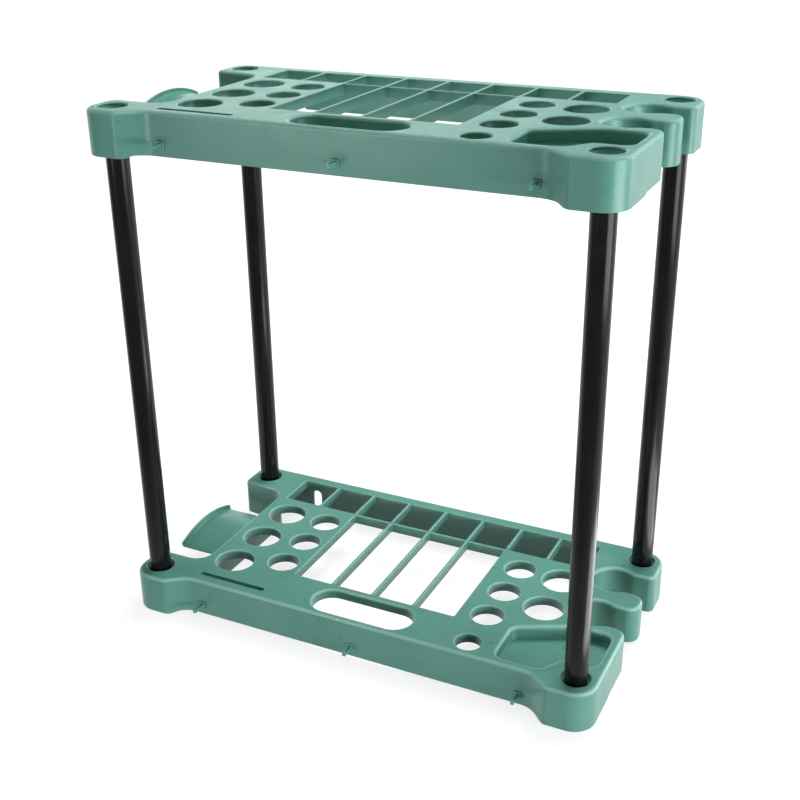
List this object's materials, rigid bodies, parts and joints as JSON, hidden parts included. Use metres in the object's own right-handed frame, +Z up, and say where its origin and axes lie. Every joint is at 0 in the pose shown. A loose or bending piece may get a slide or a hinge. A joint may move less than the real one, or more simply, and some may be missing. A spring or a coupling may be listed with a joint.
{
  "type": "garden tool rack",
  "caption": "Freestanding rack for long-handled garden tools: slotted and holed moulded trays, one above the other on push-in tube posts, with small hooks, a pocket and a hose hanger.",
  "frame": {"origin": "centre of the footprint's box, on the plane that the corner feet stand on", "axes": "+Z up along the posts, -Y towards the front with the hooks, +X to the right, the side with the keyhole slots"},
  "size_m": [0.581, 0.311, 0.6034],
  "materials": {
    "tray": "satin moulded polypropylene",
    "hook": "satin moulded polypropylene",
    "post": "semi-gloss black coated steel tube"
  },
  "bodies": {
    "lower_half": {"lower_tray": "tray", "lower_hook_left": "hook", "lower_hook_middle": "hook", "lower_hook_right": "hook"},
    "posts": {"post_front_left": "post", "post_back_left": "post", "post_front_right": "post", "post_back_right": "post"},
    "upper_half": {"upper_tray": "tray", "upper_hook_left": "hook", "upper_hook_middle": "hook", "upper_hook_right": "hook"}
  },
  "joints": [
    {"name": "posts_pull_out", "type": "slide", "parent": "lower_half", "child": "posts", "axis": [0, 0, 1], "range_m": [0, 0.0247]},
    {"name": "upper_tray_lift_off", "type": "slide", "parent": "posts", "child": "upper_half", "axis": [0, 0, 1], "range_m": [0, 0.0197]}
  ]
}
